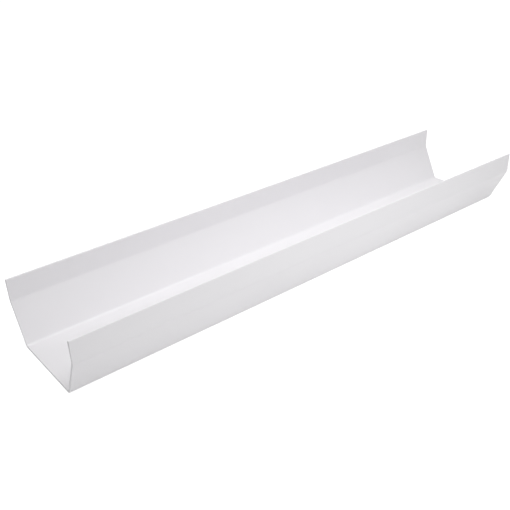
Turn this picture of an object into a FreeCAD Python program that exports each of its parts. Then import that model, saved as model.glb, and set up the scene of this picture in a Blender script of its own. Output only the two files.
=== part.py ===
import FreeCAD, Part
import PartDesign
import Sketcher
import math
import os

# A length of white PVC-U square-line rainwater gutter, sawn square at both ends.
# It is one extrusion: a flat sole, two walls that lean outwards from it, and above a kink
# two upright walls that the fascia brackets grip. The wall has one thickness all round, so
# every bend is a pair of arcs about one centre.
#
# Frame: +X runs along the gutter, +Y from its front wall to its back wall, +Z up.
# The origin is at the middle of the sole's underside. All sizes are in millimetres.

PARTS_FOLDER = "parts"
NODE_NAME = "gutter_section"
VOLUME_TOLERANCE = 0.001  # share of the volume worked out by hand


# ---------------------------------------------------------------- driving dimensions

# alias, value, what it measures
DIMENSIONS = (
    ("gutter_length", 520, "sawn end to sawn end"),
    ("rim_width", 114, "over the outside of the two upright walls"),
    ("sole_width", 78, "underside, to where the leaning walls' outer faces would meet it"),
    ("gutter_depth", 57, "underside of the sole to the rims"),
    ("kink_height", 37, "underside of the sole to where the leaning wall turns upright"),
    ("wall", 2, "thickness of the extrusion"),
    ("sole_bend_radius", 3, "inside radius between the sole and a leaning wall"),
    ("kink_bend_radius", 6, "inside radius between a leaning wall and its upright wall"),
    ("rim_radius", 0.6, "rounding along both edges of each rim"),
)


def make_dimension_sheet(doc):
    """The spreadsheet that drives every feature: name, value and meaning in columns A to C."""
    sheet = doc.addObject("Spreadsheet::Sheet", "Dimensions")
    for row, (alias, value, meaning) in enumerate(DIMENSIONS, start=1):
        sheet.set(f"A{row}", alias)
        sheet.set(f"B{row}", str(value))
        sheet.set(f"C{row}", meaning)
        sheet.setAlias(f"B{row}", alias)
    doc.recompute()
    return sheet


# ---------------------------------------------------------------- half of the wall's outline


def lean_angle(sheet):
    """How far the leaning wall stands from the horizontal, in radians."""
    run = (sheet.rim_width - sheet.sole_width) / 2
    return math.atan2(sheet.kink_height, run)


def bend_centres(sheet):
    """The centres of the bend at the sole and of the bend at the kink, on the +Y side."""
    lean = lean_angle(sheet)
    half_turn_at_sole = lean / 2
    half_turn_at_kink = (math.pi / 2 - lean) / 2
    outer_at_sole = sheet.sole_bend_radius + sheet.wall
    outer_at_kink = sheet.kink_bend_radius + sheet.wall
    at_sole = FreeCAD.Vector(
        sheet.sole_width / 2 - outer_at_sole * math.tan(half_turn_at_sole),
        outer_at_sole,
        0,
    )
    at_kink = FreeCAD.Vector(
        sheet.rim_width / 2 - outer_at_kink,
        sheet.kink_height + outer_at_kink * math.tan(half_turn_at_kink),
        0,
    )
    return at_sole, at_kink


def polar(centre, radius, angle):
    return centre + FreeCAD.Vector(radius * math.cos(angle), radius * math.sin(angle), 0)


def bend(centre, radius, start, end):
    """An anticlockwise arc about a bend's centre, with angles in radians."""
    circle = Part.Circle(centre, FreeCAD.Vector(0, 0, 1), radius)
    return Part.ArcOfCircle(circle, start, end)


def outline_geometry(sheet):
    """The closed outline of the +Y half, in order round it, as (name, curve) pairs.

    It goes out along the underside, up the outer face, over the rim, and back down the inner face.
    """
    sole_centre, kink_centre = bend_centres(sheet)
    down, right = -math.pi / 2, 0.0
    leaning = lean_angle(sheet) - math.pi / 2  # direction square to the leaning wall, outwards
    half_rim = sheet.rim_width / 2
    depth, wall = sheet.gutter_depth, sheet.wall

    def flank(gap):
        """Bend radii and tangent points of the face that lies gap inside the outer face."""
        at_sole = sheet.sole_bend_radius + wall - gap
        at_kink = sheet.kink_bend_radius + wall - gap
        points = (
            FreeCAD.Vector(0, gap, 0),
            polar(sole_centre, at_sole, down),
            polar(sole_centre, at_sole, leaning),
            polar(kink_centre, at_kink, leaning),
            polar(kink_centre, at_kink, right),
            FreeCAD.Vector(half_rim - gap, depth, 0),
        )
        return at_sole, at_kink, points

    sole_outer, kink_outer, outer = flank(0)
    sole_inner, kink_inner, inner = flank(wall)
    return (
        ("underside", Part.LineSegment(outer[0], outer[1])),
        ("sole_bend_outside", bend(sole_centre, sole_outer, down, leaning)),
        ("leaning_wall_outside", Part.LineSegment(outer[2], outer[3])),
        ("kink_bend_outside", bend(kink_centre, kink_outer, leaning, right)),
        ("upright_wall_outside", Part.LineSegment(outer[4], outer[5])),
        ("rim", Part.LineSegment(outer[5], inner[5])),
        ("upright_wall_inside", Part.LineSegment(inner[5], inner[4])),
        ("kink_bend_inside", bend(kink_centre, kink_inner, leaning, right)),
        ("leaning_wall_inside", Part.LineSegment(inner[3], inner[2])),
        ("sole_bend_inside", bend(sole_centre, sole_inner, down, leaning)),
        ("channel_floor", Part.LineSegment(inner[1], inner[0])),
        ("middle", Part.LineSegment(inner[0], outer[0])),
    )


# Sketcher's numbers for the points of a curve, and for the sketch's own axes and origin.
START, END, CENTRE = 1, 2, 3
ORIGIN, V_AXIS = -1, -2

# Each pair of neighbours round the outline: the first curve's point, then the second's.
# Arcs run anticlockwise, so the inner face passes each of its arcs from END to START.
SMOOTH_JOINTS = (
    ("underside", END, "sole_bend_outside", START),
    ("sole_bend_outside", END, "leaning_wall_outside", START),
    ("leaning_wall_outside", END, "kink_bend_outside", START),
    ("kink_bend_outside", END, "upright_wall_outside", START),
    ("upright_wall_inside", END, "kink_bend_inside", END),
    ("kink_bend_inside", START, "leaning_wall_inside", START),
    ("leaning_wall_inside", END, "sole_bend_inside", END),
    ("sole_bend_inside", START, "channel_floor", START),
)
SHARP_JOINTS = (
    ("upright_wall_outside", END, "rim", START),
    ("rim", END, "upright_wall_inside", START),
    ("channel_floor", END, "middle", START),
    ("middle", END, "underside", START),
)


def constrain_outline(sketch, curve):
    """Joins the curves, squares the straight ones, and binds every size to the sheet."""

    def add(*words):
        return sketch.addConstraint(Sketcher.Constraint(*words))

    def bind(name, formula, *words):
        sketch.renameConstraint(add(*words), name)
        sketch.setExpression(f"Constraints.{name}", formula)

    for first, first_point, second, second_point in SMOOTH_JOINTS:
        add("Tangent", curve[first], first_point, curve[second], second_point)
    for first, first_point, second, second_point in SHARP_JOINTS:
        add("Coincident", curve[first], first_point, curve[second], second_point)
    add("Coincident", curve["sole_bend_inside"], CENTRE, curve["sole_bend_outside"], CENTRE)
    add("Coincident", curve["kink_bend_inside"], CENTRE, curve["kink_bend_outside"], CENTRE)
    for level in ("underside", "rim", "channel_floor"):
        add("Horizontal", curve[level])
    for upright in ("upright_wall_outside", "upright_wall_inside"):
        add("Vertical", curve[upright])
    add("Coincident", curve["underside"], START, ORIGIN, START)
    add("PointOnObject", curve["channel_floor"], END, V_AXIS)

    # The two corners that the outer face would have without its bends.
    for corner, first, second in (
        ("sole_corner", "underside", "leaning_wall_outside"),
        ("kink_corner", "leaning_wall_outside", "upright_wall_outside"),
    ):
        add("PointOnObject", curve[corner], START, curve[first])
        add("PointOnObject", curve[corner], START, curve[second])

    half_sole = sketch.getPoint(curve["sole_corner"], START).x
    kink = sketch.getPoint(curve["kink_corner"], START).y
    rim_corner = sketch.getPoint(curve["upright_wall_outside"], END)
    bind("half_sole_width", "Dimensions.sole_width / 2",
         "DistanceX", ORIGIN, START, curve["sole_corner"], START, half_sole)
    bind("kink_height", "Dimensions.kink_height",
         "DistanceY", ORIGIN, START, curve["kink_corner"], START, kink)
    bind("half_rim_width", "Dimensions.rim_width / 2",
         "DistanceX", ORIGIN, START, curve["upright_wall_outside"], END, rim_corner.x)
    bind("gutter_depth", "Dimensions.gutter_depth",
         "DistanceY", ORIGIN, START, curve["upright_wall_outside"], END, rim_corner.y)
    for place in ("sole", "kink"):
        inside, outside = curve[f"{place}_bend_inside"], curve[f"{place}_bend_outside"]
        inside_formula = f"Dimensions.{place}_bend_radius"
        bind(f"{place}_bend_inside_radius", inside_formula,
             "Radius", inside, sketch.Geometry[inside].Radius)
        bind(f"{place}_bend_outside_radius", f"{inside_formula} + Dimensions.wall",
             "Radius", outside, sketch.Geometry[outside].Radius)


def make_outline_sketch(doc, body, sheet):
    """The +Y half of the wall's outline, on the plane that cuts the gutter across."""
    sketch = body.newObject("Sketcher::SketchObject", "HalfOutline")
    sketch.AttachmentSupport = [(origin_plane(body, "YZ_Plane"), "")]
    sketch.MapMode = "FlatFace"
    curve = {}
    for name, geometry in outline_geometry(sheet):
        curve[name] = sketch.addGeometry(geometry, False)
    sole_corner = FreeCAD.Vector(sheet.sole_width / 2, 0, 0)
    kink_corner = FreeCAD.Vector(sheet.rim_width / 2, sheet.kink_height, 0)
    curve["sole_corner"] = sketch.addGeometry(Part.Point(sole_corner), True)
    curve["kink_corner"] = sketch.addGeometry(Part.Point(kink_corner), True)
    constrain_outline(sketch, curve)
    doc.recompute()
    if not sketch.FullyConstrained:
        raise RuntimeError("the outline's sketch is not fully constrained")
    return sketch


# ---------------------------------------------------------------- the extrusion


def origin_plane(body, role):
    return next(f for f in body.Origin.OriginFeatures if f.Role == role)


def rim_edges(shape, depth):
    """The names of the long edges at the top of the walls."""
    names = []
    for number, edge in enumerate(shape.Edges, start=1):
        box = edge.BoundBox
        if box.XLength > shape.BoundBox.XLength / 2 and abs(box.ZMin - depth) < Part.Precision.confusion():
            names.append(f"Edge{number}")
    return names


def make_gutter(doc, sheet):
    """The half outline is padded both ways from its plane, mirrored, and rounded at its rims."""
    body = doc.addObject("PartDesign::Body", "Gutter")
    body.Label = NODE_NAME
    sketch = make_outline_sketch(doc, body, sheet)

    half = body.newObject("PartDesign::Pad", "HalfExtrusion")
    half.Profile = sketch
    half.SideType = "Symmetric"
    half.setExpression("Length", "Dimensions.gutter_length")
    doc.recompute()

    whole = body.newObject("PartDesign::Mirrored", "WholeExtrusion")
    whole.Originals = [half]
    whole.MirrorPlane = (origin_plane(body, "XZ_Plane"), [""])
    whole.Refine = True
    body.Tip = whole
    doc.recompute()

    rounding = body.newObject("PartDesign::Fillet", "RimRounding")
    rounding.Base = (whole, rim_edges(whole.Shape, sheet.gutter_depth))
    rounding.setExpression("Radius", "Dimensions.rim_radius")
    body.Tip = rounding
    doc.recompute()
    return body


# ---------------------------------------------------------------- checks and export


def expected_volume(sheet):
    """Wall thickness times the length of its middle line, less the rounded rim corners."""
    lean = lean_angle(sheet)
    middle = sheet.wall / 2

    def bend_saving(turn, radius):
        """How much shorter the middle line is round a bend than through its outer face's corner."""
        return 2 * (radius + sheet.wall) * math.tan(turn / 2) - (radius + middle) * turn

    half_path = (
        sheet.sole_width / 2
        + sheet.kink_height / math.sin(lean)
        + sheet.gutter_depth - sheet.kink_height
        - bend_saving(lean, sheet.sole_bend_radius)
        - bend_saving(math.pi / 2 - lean, sheet.kink_bend_radius)
    )
    rim_corners = 4 * (1 - math.pi / 4) * sheet.rim_radius**2
    return sheet.gutter_length * (2 * half_path * sheet.wall - rim_corners)


def check_document(doc, body, sheet):
    for item in doc.Objects:
        if "Invalid" in item.State or "Error" in item.State:
            raise RuntimeError(f"{item.Label} did not recompute: {item.State}")
    shape = body.Shape
    if shape.isNull() or not shape.isValid() or len(shape.Solids) != 1:
        raise RuntimeError(f"{body.Label} is not one valid solid")
    expected = expected_volume(sheet)
    if abs(shape.Volume / expected - 1) > VOLUME_TOLERANCE:
        raise RuntimeError(f"{body.Label} has volume {shape.Volume:.0f}, not {expected:.0f}")


def export(body):
    os.makedirs(PARTS_FOLDER, exist_ok=True)
    body.Shape.exportStep(os.path.join(PARTS_FOLDER, f"{body.Label}.step"))
    box = body.Shape.BoundBox
    size = f"{box.XLength:.1f} x {box.YLength:.1f} x {box.ZLength:.1f} mm"
    print(f"{body.Label}: {size}, {body.Shape.Volume / 1000:.1f} cm3, {len(body.Shape.Faces)} faces")


document = FreeCAD.newDocument("SquareLineGutter")
dimensions = make_dimension_sheet(document)
gutter = make_gutter(document, dimensions)
check_document(document, gutter, dimensions)
export(gutter)
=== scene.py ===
import bpy
import math
from mathutils import Matrix, Vector


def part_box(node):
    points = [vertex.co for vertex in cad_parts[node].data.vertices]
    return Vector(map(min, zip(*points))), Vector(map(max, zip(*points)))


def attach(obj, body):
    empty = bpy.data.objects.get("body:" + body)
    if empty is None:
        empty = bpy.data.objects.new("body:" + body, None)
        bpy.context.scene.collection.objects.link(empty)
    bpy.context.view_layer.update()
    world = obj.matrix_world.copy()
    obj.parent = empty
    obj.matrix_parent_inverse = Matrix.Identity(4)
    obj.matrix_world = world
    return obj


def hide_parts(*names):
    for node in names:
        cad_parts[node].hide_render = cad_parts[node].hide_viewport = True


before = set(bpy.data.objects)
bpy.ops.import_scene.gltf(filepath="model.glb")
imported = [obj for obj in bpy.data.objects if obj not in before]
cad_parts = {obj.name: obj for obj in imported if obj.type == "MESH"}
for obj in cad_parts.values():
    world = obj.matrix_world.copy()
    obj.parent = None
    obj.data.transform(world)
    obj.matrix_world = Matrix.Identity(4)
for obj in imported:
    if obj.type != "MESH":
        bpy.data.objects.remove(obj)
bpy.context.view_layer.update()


# ---------------------------------------------------------------- the extruded gutter
# One length of square-line rain gutter in white PVC-U, the object's only piece. The die gives it
# one wall of even thickness: a flat sole, leaning sides and upright lips. A saw cuts it square
# at both ends. All sizes are in metres.

GUTTER_NODE = "gutter_section"
SOLE_WIDTH = 0.078            # underside, to where the leaning walls' outer faces would meet it
KINK_HEIGHT = 0.037           # where the leaning wall's outer face would meet the upright one
WALL = 0.002
SOLE_BEND = 0.003             # inside radius between the sole and a leaning wall
KINK_BEND = 0.006             # inside radius between a leaning wall and its upright wall
RIM_ROUNDING = 0.0006
LIP_DRAW_IN = 0.0016          # how far the front lip stands in at mid-length; its ends spring open
SAWN_EDGE_BREAK = 0.00015     # how far the saw's sharp edges are rubbed off
BEND_POINTS = 12              # points on each bend
LENGTHWISE_POINTS = 66
CREASE_ANGLE = math.radians(50)  # only the sawn edges turn more than this
BREAK_ANGLE = math.radians(60)   # the same, for the edges that are rubbed off
END_ON = 0.9                  # how far along X a face's normal points if the saw made it

PVC_IOR = 1.53
GRAIN_SCALE = 2400.0          # makes the compound's grain about 0.4 mm across
SKIN_CLOUD_SIZE = 0.06
SKIN_SHADE = (0.898, 0.886, 0.906, 1)
SKIN_LIGHT = (0.912, 0.900, 0.920, 1)
SKIN_DULLEST = 0.44           # roughness where the tone is darkest
SKIN_GLOSSIEST = 0.34         # roughness where it is lightest
DIE_LINE_SPACING = 0.0012
DIE_LINE_DEPTH = 0.00004
SIZING_BAND_SPACING = 0.009   # broad faint bands from the sleeve that cools the gutter to size
LINE_STRETCH = 250            # a line's length over its spacing
SKIN_GRAIN = 0.15             # the grain's height beside a die line's
SAWN_CLOUD_SIZE = 0.01
# the sawn face's own colour, and the darker colour that paints shade on it towards the lips
SAWN_OWN_COLOUR = (0.912, 0.903, 0.925, 1)
SAWN_PAINTED_SHADE = (0.70, 0.69, 0.71, 1)
FRONT_PAINTED_SHADE = 0.3           # how dark the painted shade is on the front lip's cut, beside the back one's
TONE_PATCHES = 0.3         # how much random clouds of tone add to the painted shade or take from it, in all
HOLLOW_ROUGHNESS = 0.72       # at the bottom of a tooth mark
RIDGE_ROUGHNESS = 0.58        # and at its top
TOOTH_MARK_SCALE = 260.0      # puts a tooth mark about every 1.2 mm
TOOTH_MARK_DEPTH = 0.00006
SAWN_GRAIN = 0.5              # the grain's height beside a tooth mark's
BLADE_TILT = math.radians(28)

gutter_low, gutter_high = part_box(GUTTER_NODE)
gutter_size = gutter_high - gutter_low


def place(tree, kind, inputs=None, **settings):
    """Adds a node with its settings, and sets or links its inputs by name or number."""
    node = tree.nodes.new(kind)
    for name, value in settings.items():
        setattr(node, name, value)
    for key, value in (inputs or {}).items():
        if isinstance(value, bpy.types.NodeSocket):
            tree.links.new(value, node.inputs[key])
        else:
            node.inputs[key].default_value = value
    return node


def maths(tree, operation, *values):
    """The output of a Math node that works on numbers or on other nodes' outputs."""
    return place(tree, "ShaderNodeMath", dict(enumerate(values)), operation=operation).outputs[0]


def vector(tree, **parts):
    """The output of a node that makes a vector of its X, Y and Z; those left out are 0."""
    return place(tree, "ShaderNodeCombineXYZ", parts).outputs[0]


def add_sockets(tree, direction, sockets):
    """Gives a node group its named inputs or outputs, as (name, kind, first value) rows."""
    for name, kind, value in sockets:
        socket = tree.interface.new_socket(name, in_out=direction, socket_type=f"NodeSocket{kind}")
        if value is not None:
            socket.default_value = value


def pick(tree, index, values):
    """An Index Switch that gives the number at that index."""
    switch = place(tree, "GeometryNodeIndexSwitch", {0: index}, data_type="FLOAT")
    while len(switch.index_switch_items) < len(values):
        switch.index_switch_items.new()
    for number, value in enumerate(values, start=1):
        if isinstance(value, bpy.types.NodeSocket):
            tree.links.new(value, switch.inputs[number])
        else:
            switch.inputs[number].default_value = value
    return switch.outputs[0]


def outline_corners(tree, size):
    """The six corners of half the wall's outline, as (across, up) outputs, outer face first."""
    half_rim = maths(tree, "DIVIDE", size["Rim Width"], 2)
    half_sole = maths(tree, "DIVIDE", size["Sole Width"], 2)
    run = maths(tree, "SUBTRACT", half_rim, half_sole)
    lean = maths(tree, "ARCTAN2", size["Kink Height"], run)
    half_sole_turn = maths(tree, "DIVIDE", lean, 2)
    half_kink_turn = maths(tree, "SUBTRACT", math.pi / 4, half_sole_turn)
    inner_rim = maths(tree, "SUBTRACT", half_rim, size["Wall"])
    sole_inset = maths(tree, "MULTIPLY", size["Wall"], maths(tree, "TANGENT", half_sole_turn))
    inner_sole = maths(tree, "SUBTRACT", half_sole, sole_inset)
    kink_rise = maths(tree, "MULTIPLY", size["Wall"], maths(tree, "TANGENT", half_kink_turn))
    inner_kink = maths(tree, "ADD", size["Kink Height"], kink_rise)
    return (
        (half_sole, 0),
        (half_rim, size["Kink Height"]),
        (half_rim, size["Depth"]),
        (inner_rim, size["Depth"]),
        (inner_rim, inner_kink),
        (inner_sole, size["Wall"]),
    )


def corner_radii(tree, size):
    """The rounding of each of those corners, in the same order."""
    outer_sole_bend = maths(tree, "ADD", size["Sole Bend"], size["Wall"])
    outer_kink_bend = maths(tree, "ADD", size["Kink Bend"], size["Wall"])
    rim = size["Rim Rounding"]
    return (outer_sole_bend, outer_kink_bend, rim, rim, size["Kink Bend"], size["Sole Bend"])


def draw_outline(tree, size):
    """The wall's closed outline: the front half's corners, then the back half's in reverse."""
    corners = outline_corners(tree, size)
    last_corner = 2 * len(corners) - 1
    index = place(tree, "GeometryNodeInputIndex").outputs[0]
    from_end = maths(tree, "SUBTRACT", last_corner, index)
    corner = maths(tree, "MINIMUM", index, from_end)
    on_back = maths(tree, "GREATER_THAN", index, len(corners) - 0.5)
    side = maths(tree, "MULTIPLY_ADD", on_back, 2, -1)
    from_middle = pick(tree, corner, [across for across, up in corners])
    across = maths(tree, "MULTIPLY", from_middle, side)
    up = pick(tree, corner, [up for across, up in corners])
    down = maths(tree, "MULTIPLY", up, -1)  # a profile's Y points down where its way runs along X

    points = place(tree, "GeometryNodeMeshLine", {"Count": last_corner + 1})
    placed = place(tree, "GeometryNodeSetPosition", {
        "Geometry": points.outputs[0], "Position": vector(tree, X=across, Y=down),
    })
    open_line = place(tree, "GeometryNodeMeshToCurve", {"Mesh": placed.outputs[0]})
    closed_line = place(tree, "GeometryNodeSetSplineCyclic", {
        "Geometry": open_line.outputs[0], "Cyclic": True,
    })
    radius = pick(tree, corner, corner_radii(tree, size))
    return place(tree, "GeometryNodeFilletCurve", {
        "Curve": closed_line.outputs[0], "Count": size["Bend Points"], "Radius": radius,
    }, mode="POLY").outputs[0]


def push_along(tree, outline, half_length, points):
    """The outline pushed along X, half the length each way, with both ends closed."""
    line = place(tree, "GeometryNodeCurvePrimitiveLine", {
        "Start": vector(tree, X=maths(tree, "MULTIPLY", half_length, -1)),
        "End": vector(tree, X=half_length),
    })
    way = place(tree, "GeometryNodeResampleCurve", {
        "Curve": line.outputs[0], "Count": points,
    }, mode="COUNT")
    return place(tree, "GeometryNodeCurveToMesh", {
        "Curve": way.outputs[0], "Profile Curve": outline, "Fill Caps": True,
    }).outputs[0]


def draw_front_lip_in(tree, extrusion, half_length, size):
    """Leans the front wall in: most at its lip and at mid-length, and not at all at the ends."""
    position = place(tree, "GeometryNodeInputPosition").outputs[0]
    here = place(tree, "ShaderNodeSeparateXYZ", {0: position}).outputs
    from_middle = maths(tree, "DIVIDE", here["X"], half_length)
    between_ends = maths(tree, "SUBTRACT", 1, maths(tree, "MULTIPLY", from_middle, from_middle))
    up_wall = maths(tree, "DIVIDE", here["Z"], size["Depth"])
    on_front = maths(tree, "LESS_THAN", here["Y"], 0)
    give = maths(tree, "MULTIPLY", maths(tree, "MULTIPLY", between_ends, up_wall), on_front)
    inwards = maths(tree, "MULTIPLY", give, size["Lip Draw In"])
    return place(tree, "GeometryNodeSetPosition", {
        "Geometry": extrusion, "Offset": vector(tree, Y=inwards),
    }).outputs[0]


def shade(tree, extrusion):
    """Smooth shading, with a crease along the sawn edges."""
    smooth = place(tree, "GeometryNodeSetShadeSmooth", {
        "Geometry": extrusion, "Shade Smooth": True,
    }, domain="FACE")
    edge_angle = place(tree, "GeometryNodeInputMeshEdgeAngle").outputs["Unsigned Angle"]
    return place(tree, "GeometryNodeSetShadeSmooth", {
        "Geometry": smooth.outputs[0],
        "Selection": maths(tree, "GREATER_THAN", edge_angle, CREASE_ANGLE),
        "Shade Smooth": False,
    }, domain="EDGE").outputs[0]


def make_extrusion_tree():
    """Draws the closed outline of the wall and pushes it along X, as the die does."""
    tree = bpy.data.node_groups.new("extruded gutter", "GeometryNodeTree")
    add_sockets(tree, "INPUT", (
        ("Length", "Float", 0.5),
        ("Rim Width", "Float", 0.1),
        ("Depth", "Float", 0.05),
        ("Sole Width", "Float", 0.08),
        ("Kink Height", "Float", 0.03),
        ("Wall", "Float", 0.002),
        ("Sole Bend", "Float", 0.003),
        ("Kink Bend", "Float", 0.006),
        ("Rim Rounding", "Float", 0.0005),
        ("Lip Draw In", "Float", 0.0),
        ("Bend Points", "Int", 8),
        ("Lengthwise Points", "Int", 32),
        ("Skin", "Material", None),
        ("Sawn Face", "Material", None),
    ))
    add_sockets(tree, "OUTPUT", (("Gutter", "Geometry", None),))
    size = place(tree, "NodeGroupInput").outputs

    half_length = maths(tree, "DIVIDE", size["Length"], 2)
    outline = draw_outline(tree, size)
    extrusion = push_along(tree, outline, half_length, size["Lengthwise Points"])
    settled = draw_front_lip_in(tree, extrusion, half_length, size)
    real = place(tree, "GeometryNodeRealizeInstances", {"Geometry": shade(tree, settled)})

    normal = place(tree, "GeometryNodeInputNormal").outputs[0]
    along = place(tree, "ShaderNodeSeparateXYZ", {0: normal}).outputs["X"]
    on_sawn_face = maths(tree, "GREATER_THAN", maths(tree, "ABSOLUTE", along), END_ON)
    skinned = place(tree, "GeometryNodeSetMaterial", {
        "Geometry": real.outputs[0], "Material": size["Skin"],
    })
    sawn = place(tree, "GeometryNodeSetMaterial", {
        "Geometry": skinned.outputs[0], "Selection": on_sawn_face, "Material": size["Sawn Face"],
    })
    place(tree, "NodeGroupOutput", {0: sawn.outputs[0]})
    return tree


def set_inputs(modifier, values):
    """Sets a Geometry Nodes modifier's inputs, which are kept under their sockets' identifiers."""
    for item in modifier.node_group.interface.items_tree:
        if item.item_type == "SOCKET" and item.name in values:
            modifier[item.identifier] = values[item.name]


def make_compound_group():
    """The compound, the same right through: slow faint clouds of tone, and a very fine grain."""
    group = bpy.data.node_groups.new("PVC compound", "ShaderNodeTree")
    add_sockets(group, "INPUT", (("Cloud Size", "Float", 0.05), ("Contrast", "Float", 1.0)))
    add_sockets(group, "OUTPUT", (("Tone", "Float", None), ("Grain", "Float", None)))
    wanted = place(group, "NodeGroupInput").outputs
    here = place(group, "ShaderNodeTexCoord").outputs["Object"]
    clouds = place(group, "ShaderNodeTexNoise", {
        "Vector": here, "Scale": maths(group, "DIVIDE", 1, wanted["Cloud Size"]), "Detail": 3.0,
    }).outputs["Fac"]
    centred = maths(group, "SUBTRACT", clouds, 0.5)
    tone = maths(group, "MULTIPLY_ADD", centred, wanted["Contrast"], 0.5)
    grain = place(group, "ShaderNodeTexNoise", {
        "Vector": here, "Scale": GRAIN_SCALE, "Detail": 2.0,
    }).outputs["Fac"]
    place(group, "NodeGroupOutput", {"Tone": tone, "Grain": grain})
    return group


compound = make_compound_group()


def use_group(tree, group, inputs):
    """The outputs of a node group placed with its own values."""
    node = tree.nodes.new("ShaderNodeGroup")
    node.node_tree = group
    for name, value in inputs.items():
        node.inputs[name].default_value = value
    return node.outputs


def new_material(name):
    """A material with an empty node tree, and that tree."""
    material = bpy.data.materials.new(name)
    material.use_nodes = True
    tree = material.node_tree
    tree.nodes.clear()
    return material, tree


def blend_colours(tree, share, first, second):
    """A colour that goes from the first to the second as share goes from 0 to 1."""
    mix = place(tree, "ShaderNodeMix", {"Factor": share}, data_type="RGBA")
    ends = [socket for socket in mix.inputs if socket.type == "RGBA"]
    for socket, colour in zip(ends, (first, second)):
        socket.default_value = colour
    return next(socket for socket in mix.outputs if socket.type == "RGBA")


def lengthwise_lines(tree, here, spacing, detail):
    """Noise drawn out along X into lines at about that spacing."""
    scale = 1 / spacing
    drawn_out = place(tree, "ShaderNodeMapping", {
        "Vector": here, "Scale": (scale / LINE_STRETCH, scale, scale),
    }).outputs[0]
    return place(tree, "ShaderNodeTexNoise", {
        "Vector": drawn_out, "Scale": 1.0, "Detail": detail,
    }).outputs["Fac"]


def make_extruded_skin():
    """White PVC-U as the die leaves it: semi-gloss, with faint lines along the length."""
    material, tree = new_material("extruded PVC skin")
    clouds = use_group(tree, compound, {"Cloud Size": SKIN_CLOUD_SIZE, "Contrast": 1.0})
    here = place(tree, "ShaderNodeTexCoord").outputs["Object"]
    die_lines = lengthwise_lines(tree, here, DIE_LINE_SPACING, 2.0)
    sizing_bands = lengthwise_lines(tree, here, SIZING_BAND_SPACING, 1.0)
    half_clouds = maths(tree, "MULTIPLY", clouds["Tone"], 0.5)
    tone = maths(tree, "MULTIPLY_ADD", sizing_bands, 0.5, half_clouds)
    roughness = place(tree, "ShaderNodeMapRange", {
        "Value": tone, "From Min": 0.3, "From Max": 0.7,
        "To Min": SKIN_DULLEST, "To Max": SKIN_GLOSSIEST,
    }).outputs[0]
    relief = place(tree, "ShaderNodeBump", {
        "Strength": 0.25, "Distance": DIE_LINE_DEPTH,
        "Height": maths(tree, "MULTIPLY_ADD", clouds["Grain"], SKIN_GRAIN, die_lines),
    }).outputs[0]
    surface = place(tree, "ShaderNodeBsdfPrincipled", {
        "Base Color": blend_colours(tree, tone, SKIN_SHADE, SKIN_LIGHT),
        "Roughness": roughness, "Normal": relief, "IOR": PVC_IOR,
    }).outputs[0]
    place(tree, "ShaderNodeOutputMaterial", {"Surface": surface})
    return material


def painted_shade_and_patches(tree, here, clouds):
    """Painted shade on the cut: none at the sole, and darker up to the lips, most at the back one,
    with random patches of tone.
    """
    at = place(tree, "ShaderNodeSeparateXYZ", {0: here}).outputs
    to_back = place(tree, "ShaderNodeMapRange", {
        "Value": at["Y"], "From Min": gutter_low.y, "From Max": gutter_high.y,
        "To Min": FRONT_PAINTED_SHADE,
    }).outputs[0]
    to_lips = place(tree, "ShaderNodeMapRange", {
        "Value": at["Z"], "From Min": gutter_low.z + WALL, "From Max": gutter_high.z,
    }).outputs[0]
    uneven = maths(tree, "MULTIPLY_ADD", clouds, TONE_PATCHES, -TONE_PATCHES / 2)
    return maths(tree, "ADD", maths(tree, "MULTIPLY", to_back, to_lips), uneven)


def make_sawn_face():
    """The compound where the saw went through it: matt, with the blade's tooth marks, and painted
    shade that darkens it towards the lips.
    """
    material, tree = new_material("sawn PVC face")
    clouds = use_group(tree, compound, {"Cloud Size": SAWN_CLOUD_SIZE, "Contrast": 1.5})
    here = place(tree, "ShaderNodeTexCoord").outputs["Object"]
    across_cut = place(tree, "ShaderNodeMapping", {
        "Vector": here, "Rotation": (BLADE_TILT, 0, 0),
    }).outputs[0]
    marks = place(tree, "ShaderNodeTexWave", {
        "Vector": across_cut, "Scale": TOOTH_MARK_SCALE,
        "Distortion": 1.5, "Detail": 2.0, "Detail Scale": 3.0,
    }, bands_direction="Z").outputs["Fac"]
    # painted shade: the cut is painted darker from the sole up to the lips, most at the back one
    shade_and_patches = painted_shade_and_patches(tree, here, clouds["Tone"])
    roughness = place(tree, "ShaderNodeMapRange", {
        "Value": marks, "To Min": HOLLOW_ROUGHNESS, "To Max": RIDGE_ROUGHNESS,
    }).outputs[0]
    relief = place(tree, "ShaderNodeBump", {
        "Strength": 0.5, "Distance": TOOTH_MARK_DEPTH,
        "Height": maths(tree, "MULTIPLY_ADD", clouds["Grain"], SAWN_GRAIN, marks),
    }).outputs[0]
    surface = place(tree, "ShaderNodeBsdfPrincipled", {
        "Base Color": blend_colours(tree, shade_and_patches, SAWN_OWN_COLOUR, SAWN_PAINTED_SHADE),
        "Roughness": roughness, "Normal": relief, "IOR": PVC_IOR,
    }).outputs[0]
    place(tree, "ShaderNodeOutputMaterial", {"Surface": surface})
    return material


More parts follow.
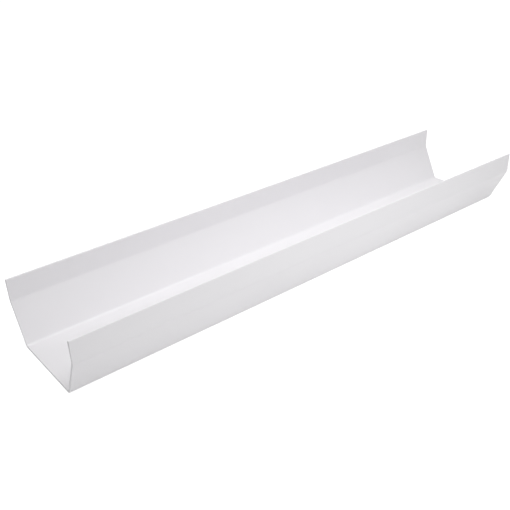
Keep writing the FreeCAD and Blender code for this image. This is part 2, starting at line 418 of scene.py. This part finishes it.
def make_gutter():
    """Runs the extrusion once, keeps its plain mesh, and rubs the sharp sawn edges off."""
    blank = bpy.data.objects.new("gutter_die", bpy.data.meshes.new("gutter_die"))
    bpy.context.scene.collection.objects.link(blank)
    extrude = blank.modifiers.new("extrude", "NODES")
    extrude.node_group = make_extrusion_tree()
    set_inputs(extrude, {
        "Length": gutter_size.x,
        "Rim Width": gutter_size.y,
        "Depth": gutter_size.z,
        "Sole Width": SOLE_WIDTH,
        "Kink Height": KINK_HEIGHT,
        "Wall": WALL,
        "Sole Bend": SOLE_BEND,
        "Kink Bend": KINK_BEND,
        "Rim Rounding": RIM_ROUNDING,
        "Lip Draw In": LIP_DRAW_IN,
        "Bend Points": BEND_POINTS,
        "Lengthwise Points": LENGTHWISE_POINTS,
        "Skin": make_extruded_skin(),
        "Sawn Face": make_sawn_face(),
    })
    depsgraph = bpy.context.evaluated_depsgraph_get()
    mesh = bpy.data.meshes.new_from_object(blank.evaluated_get(depsgraph))
    bpy.data.objects.remove(blank)
    mesh.name = "gutter"
    piece = bpy.data.objects.new("gutter", mesh)
    bpy.context.scene.collection.objects.link(piece)
    rubbed_edges = piece.modifiers.new("rubbed edges", "BEVEL")
    rubbed_edges.width = SAWN_EDGE_BREAK
    rubbed_edges.segments = 2
    rubbed_edges.limit_method = "ANGLE"
    rubbed_edges.angle_limit = BREAK_ANGLE
    return piece


gutter = make_gutter()
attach(gutter, "root")
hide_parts(GUTTER_NODE)


# ---------------------------------------------------------------- the studio floor
# A plain pale floor that the gutter lies on. It reads as white to the camera and to
# reflections, keeps the gutter's soft shadow, and can be seen through from below.

FLOOR_SIZE = 12.0
FLOOR_RAISE = 0.0001          # a hair above the underside, which the room then lights
FLOOR_COLOUR = (0.92, 0.92, 0.92, 1)
FLOOR_SHOWN_COLOUR = (0.9, 0.9, 0.9, 1)
FLOOR_SHOWN_GLOW = 0.70       # brings the floor up to white where it is seen or mirrored


def seen_directly(tree):
    """1 for camera, glossy and transmission rays, and 0 for the light that surfaces pass on."""
    path = place(tree, "ShaderNodeLightPath").outputs
    mirrored = maths(tree, "MAXIMUM", path["Is Glossy Ray"], path["Is Transmission Ray"])
    return maths(tree, "MAXIMUM", path["Is Camera Ray"], mirrored)


def mix_shaders(tree, share, first, second):
    """The first shader where share is 0, and the second where it is 1."""
    return place(tree, "ShaderNodeMixShader", {0: share, 1: first, 2: second}).outputs[0]


def make_floor_material():
    """White where it is seen from above, pale and matt to other light, and clear from below."""
    material, tree = new_material("white studio floor")
    bounce = place(tree, "ShaderNodeBsdfDiffuse", {"Color": FLOOR_COLOUR}).outputs[0]
    shadowed = place(tree, "ShaderNodeBsdfDiffuse", {"Color": FLOOR_SHOWN_COLOUR}).outputs[0]
    glow = place(tree, "ShaderNodeEmission", {"Strength": FLOOR_SHOWN_GLOW}).outputs[0]
    shown = place(tree, "ShaderNodeAddShader", {0: shadowed, 1: glow}).outputs[0]
    top = mix_shaders(tree, seen_directly(tree), bounce, shown)
    clear = place(tree, "ShaderNodeBsdfTransparent").outputs[0]
    from_below = place(tree, "ShaderNodeNewGeometry").outputs["Backfacing"]
    surface = mix_shaders(tree, from_below, top, clear)
    place(tree, "ShaderNodeOutputMaterial", {"Surface": surface})
    return material


def make_floor():
    """One square face that points up, a hair above the gutter's underside."""
    half = FLOOR_SIZE / 2
    corners = ((-half, -half), (half, -half), (half, half), (-half, half))
    mesh = bpy.data.meshes.new("studio_floor")
    level = gutter_low.z + FLOOR_RAISE
    mesh.from_pydata([(x, y, level) for x, y in corners], [], [(0, 1, 2, 3)])
    mesh.materials.append(make_floor_material())
    floor = bpy.data.objects.new("studio_floor", mesh)
    bpy.context.scene.collection.objects.link(floor)
    return floor


studio_floor = make_floor()


# ---------------------------------------------------------------- the studio light
# A white room with two softboxes: one high overhead, a little behind the gutter, and a
# stronger one in front of it, high enough to reach the sole.

ROOM_STRENGTH = 0.366
ROOM_WHITE = (1, 1, 1, 1)


def make_room():
    """The room's light, with plain white shown to the camera and in reflections."""
    world = bpy.data.worlds.new("studio_room")
    world.use_nodes = True
    tree = world.node_tree
    tree.nodes.clear()

    def background(strength):
        return place(tree, "ShaderNodeBackground", {
            "Color": ROOM_WHITE, "Strength": strength,
        }).outputs[0]

    surface = mix_shaders(tree, seen_directly(tree), background(ROOM_STRENGTH), background(1.0))
    place(tree, "ShaderNodeOutputWorld", {"Surface": surface})
    return world


bpy.context.scene.world = make_room()

gutter_middle = (gutter_low + gutter_high) / 2


def add_softbox(name, centre, size, watts):
    """An area lamp of size (width, height), at centre and turned towards the gutter's middle."""
    lamp = bpy.data.lights.new(name, "AREA")
    lamp.shape = "RECTANGLE"
    lamp.size, lamp.size_y = size
    lamp.energy = watts
    holder = bpy.data.objects.new(name, lamp)
    holder.location = centre
    holder.rotation_mode = "QUATERNION"
    holder.rotation_quaternion = (gutter_middle - Vector(centre)).to_track_quat("-Z", "Y")
    holder.visible_camera = False
    bpy.context.scene.collection.objects.link(holder)


add_softbox("overhead_box", centre=(0.08, 0.16, 0.8), size=(0.35, 0.30), watts=1.34)
add_softbox("front_box", centre=(0.0, -0.275, 0.506), size=(0.31, 0.24), watts=1.447)


# ---------------------------------------------------------------- the camera
# It stands in front of the gutter, off to its left sawn end, and looks down into it with a
# standard lens. Everything is in focus.

CAMERA_AZIMUTH = math.radians(-37.87)
CAMERA_ELEVATION = math.radians(28.61)
CAMERA_ROLL = math.radians(-2.27)
CAMERA_DISTANCE = 0.6556
CAMERA_AIM = Vector((-0.0502, 0.0, 0.0243))
CAMERA_LENS = 50.09
CAMERA_SENSOR = 36.0
CAMERA_NEAREST = 0.01

camera_data = bpy.data.cameras.new("camera")
camera_data.lens = CAMERA_LENS
camera_data.sensor_width = CAMERA_SENSOR
camera_data.clip_start = CAMERA_NEAREST
camera = bpy.data.objects.new("camera", camera_data)
towards_camera = Vector((
    math.sin(CAMERA_AZIMUTH) * math.cos(CAMERA_ELEVATION),
    -math.cos(CAMERA_AZIMUTH) * math.cos(CAMERA_ELEVATION),
    math.sin(CAMERA_ELEVATION),
))
level_view = (-towards_camera).to_track_quat("-Z", "Y").to_matrix()
rolled_view = level_view @ Matrix.Rotation(CAMERA_ROLL, 3, "Z")
camera.location = CAMERA_AIM + CAMERA_DISTANCE * towards_camera
camera.rotation_mode = "QUATERNION"
camera.rotation_quaternion = rolled_view.to_quaternion()
bpy.context.scene.collection.objects.link(camera)
bpy.context.scene.camera = camera
bpy.context.scene.view_settings.view_transform = "Standard"
